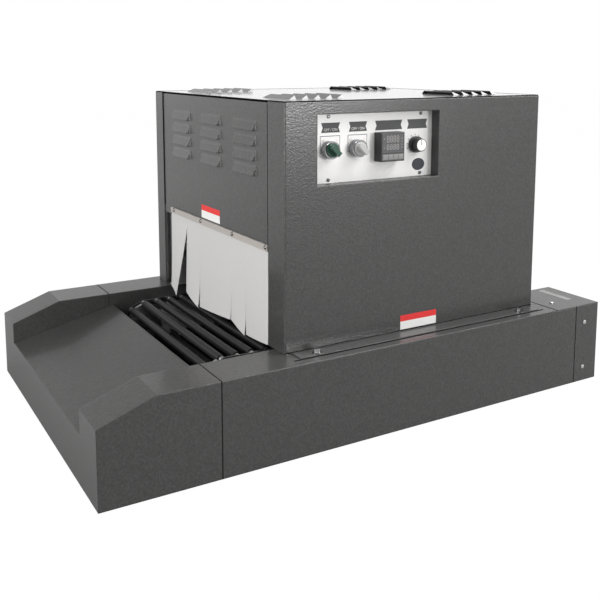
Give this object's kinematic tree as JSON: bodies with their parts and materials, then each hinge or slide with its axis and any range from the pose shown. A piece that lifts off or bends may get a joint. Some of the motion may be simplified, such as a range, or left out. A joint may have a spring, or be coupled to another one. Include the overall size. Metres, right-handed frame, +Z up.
{
  "type": "conveyor heat tunnel",
  "caption": "Benchtop heat-shrink tunnel: a louvred hood with a sunk control panel and strip curtains over a chain-driven roller conveyor in a low sheet-metal base.",
  "frame": {"origin": "middle of the footprint, on the surface that the feet stand on", "axes": "+X the way the goods travel, -Y the operator's side with the control panel, +Z up"},
  "size_m": [0.986, 0.61, 0.559],
  "materials": {
    "hammertone": "glossy dark grey hammertone paint",
    "zinc_sheet": "bare sheet",
    "rubber": "matt",
    "roller_sleeve": "smooth silicone sleeve",
    "steel": "machined",
    "cast_housing": "painted casting",
    "mineral_board": "pressed mineral fibre",
    "panel_silver": "bright satin",
    "frame_black": "satin",
    "green_plastic": "translucent",
    "clear_plastic": "translucent",
    "black_plastic": "moulded",
    "lens": "smoked window",
    "key_grey": "moulded",
    "board_green": "solder resist",
    "curtain_cloth": "coated glass cloth"
  },
  "bodies": {
    "tunnel": {"base_pan": "zinc_sheet", "rubber_feet": "rubber", "infeed_casing": "hammertone", "infeed_ramp": "hammertone", "front_side_cover": "hammertone", "rear_side_cover": "hammertone", "outfeed_end_cap": "hammertone", "drive_cover": "hammertone", "chain_rails": "zinc_sheet", "conveyor_rollers": "roller_sleeve", "chain_links": "steel", "flange_bearings": "cast_housing", "gear_motor": "cast_housing", "hood_front_cover": "hammertone", "hood_rear_cover": "hammertone", "infeed_end_panel": "hammertone", "outfeed_end_panel": "hammertone", "top_cover": "hammertone", "hood_bolts": "steel", "tunnel_liner": "zinc_sheet", "plenum_shell": "zinc_sheet", "insulation_boards": "mineral_board", "heater_elements": "steel", "blower_motor": "cast_housing", "thermocouple": "steel", "panel_frame": "frame_black", "control_panel": "panel_silver", "power_selector_body": "steel", "heater_selector_body": "steel", "controller_case": "black_plastic", "controller_lens": "lens", "speed_potentiometer": "black_plastic", "heater_relay": "black_plastic", "speed_board": "board_green", "mains_inlet": "black_plastic", "curtain_bars": "zinc_sheet", "curtain_headers": "curtain_cloth"},
    "drive_axle": {"drive_shaft": "steel", "drive_sprockets": "steel"},
    "idler_axle": {"idler_shaft": "steel", "idler_sprockets": "steel"},
    "impeller": {"blower_impeller": "steel"},
    "power_switch": {"power_selector_knob": "green_plastic"},
    "heater_switch": {"heater_selector_knob": "clear_plastic"},
    "speed_dial": {"speed_shaft": "steel", "speed_knob": "black_plastic"},
    "key_1": {"controller_key_1": "key_grey"},
    "key_2": {"controller_key_2": "key_grey"},
    "key_3": {"controller_key_3": "key_grey"},
    "key_4": {"controller_key_4": "key_grey"},
    "infeed_curtain_1": {"infeed_strip_1": "curtain_cloth"},
    "infeed_curtain_2": {"infeed_strip_2": "curtain_cloth"},
    "infeed_curtain_3": {"infeed_strip_3": "curtain_cloth"},
    "infeed_curtain_4": {"infeed_strip_4": "curtain_cloth"},
    "infeed_curtain_5": {"infeed_strip_5": "curtain_cloth"},
    "outfeed_curtain_1": {"outfeed_strip_1": "curtain_cloth"},
    "outfeed_curtain_2": {"outfeed_strip_2": "curtain_cloth"},
    "outfeed_curtain_3": {"outfeed_strip_3": "curtain_cloth"},
    "outfeed_curtain_4": {"outfeed_strip_4": "curtain_cloth"},
    "outfeed_curtain_5": {"outfeed_strip_5": "curtain_cloth"}
  },
  "joints": [
    {"name": "drive_turn", "type": "hinge", "parent": "tunnel", "child": "drive_axle", "pos_m": [0.412, 0, 0.10007], "axis": [0, 1, 0], "continuous": true, "deforming": ["conveyor_rollers", "chain_links"]},
    {"name": "idler_turn", "type": "hinge", "parent": "tunnel", "child": "idler_axle", "pos_m": [-0.248, 0, 0.10007], "axis": [0, 1, 0], "continuous": true, "deforming": ["conveyor_rollers", "chain_links"]},
    {"name": "impeller_turn", "type": "hinge", "parent": "tunnel", "child": "impeller", "pos_m": [0.095, 0.0055, 0.33], "axis": [0, 0, 1], "continuous": true},
    {"name": "power_turn", "type": "hinge", "parent": "tunnel", "child": "power_switch", "pos_m": [-0.082, -0.25, 0.4735], "axis": [0, 1, 0], "range_deg": [0, 90]},
    {"name": "heater_turn", "type": "hinge", "parent": "tunnel", "child": "heater_switch", "pos_m": [-0.029, -0.25, 0.4735], "axis": [0, 1, 0], "range_deg": [0, 90]},
    {"name": "speed_turn", "type": "hinge", "parent": "tunnel", "child": "speed_dial", "pos_m": [0.093, -0.246, 0.4735], "axis": [0, 1, 0], "range_deg": [0, 280]},
    {"name": "key_1_press", "type": "slide", "parent": "tunnel", "child": "key_1", "axis": [0, 1, 0], "range_m": [0, 0.0006], "stiffness_N_per_m": 400},
    {"name": "key_2_press", "type": "slide", "parent": "tunnel", "child": "key_2", "axis": [0, 1, 0], "range_m": [0, 0.0006], "stiffness_N_per_m": 400},
    {"name": "key_3_press", "type": "slide", "parent": "tunnel", "child": "key_3", "axis": [0, 1, 0], "range_m": [0, 0.0006], "stiffness_N_per_m": 400},
    {"name": "key_4_press", "type": "slide", "parent": "tunnel", "child": "key_4", "axis": [0, 1, 0], "range_m": [0, 0.0006], "stiffness_N_per_m": 400},
    {"name": "infeed_strip_1_swing", "type": "hinge", "parent": "tunnel", "child": "infeed_curtain_1", "pos_m": [-0.1731, 0, 0.296], "axis": [0, -1, 0], "range_deg": [-12, 60]},
    {"name": "infeed_strip_2_swing", "type": "hinge", "parent": "tunnel", "child": "infeed_curtain_2", "pos_m": [-0.1731, 0, 0.296], "axis": [0, -1, 0], "range_deg": [-12, 60]},
    {"name": "infeed_strip_3_swing", "type": "hinge", "parent": "tunnel", "child": "infeed_curtain_3", "pos_m": [-0.1731, 0, 0.296], "axis": [0, -1, 0], "range_deg": [-12, 60]},
    {"name": "infeed_strip_4_swing", "type": "hinge", "parent": "tunnel", "child": "infeed_curtain_4", "pos_m": [-0.1731, 0, 0.296], "axis": [0, -1, 0], "range_deg": [-12, 60]},
    {"name": "infeed_strip_5_swing", "type": "hinge", "parent": "tunnel", "child": "infeed_curtain_5", "pos_m": [-0.1731, 0, 0.296], "axis": [0, -1, 0], "range_deg": [-12, 60]},
    {"name": "outfeed_strip_1_swing", "type": "hinge", "parent": "tunnel", "child": "outfeed_curtain_1", "pos_m": [0.3631, 0, 0.296], "axis": [0, -1, 0], "range_deg": [-12, 60]},
    {"name": "outfeed_strip_2_swing", "type": "hinge", "parent": "tunnel", "child": "outfeed_curtain_2", "pos_m": [0.3631, 0, 0.296], "axis": [0, -1, 0], "range_deg": [-12, 60]},
    {"name": "outfeed_strip_3_swing", "type": "hinge", "parent": "tunnel", "child": "outfeed_curtain_3", "pos_m": [0.3631, 0, 0.296], "axis": [0, -1, 0], "range_deg": [-12, 60]},
    {"name": "outfeed_strip_4_swing", "type": "hinge", "parent": "tunnel", "child": "outfeed_curtain_4", "pos_m": [0.3631, 0, 0.296], "axis": [0, -1, 0], "range_deg": [-12, 60]},
    {"name": "outfeed_strip_5_swing", "type": "hinge", "parent": "tunnel", "child": "outfeed_curtain_5", "pos_m": [0.3631, 0, 0.296], "axis": [0, -1, 0], "range_deg": [-12, 60]}
  ],
  "couplings": [
    {"joint": "idler_turn", "follows": "drive_turn", "ratio": 1}
  ]
}
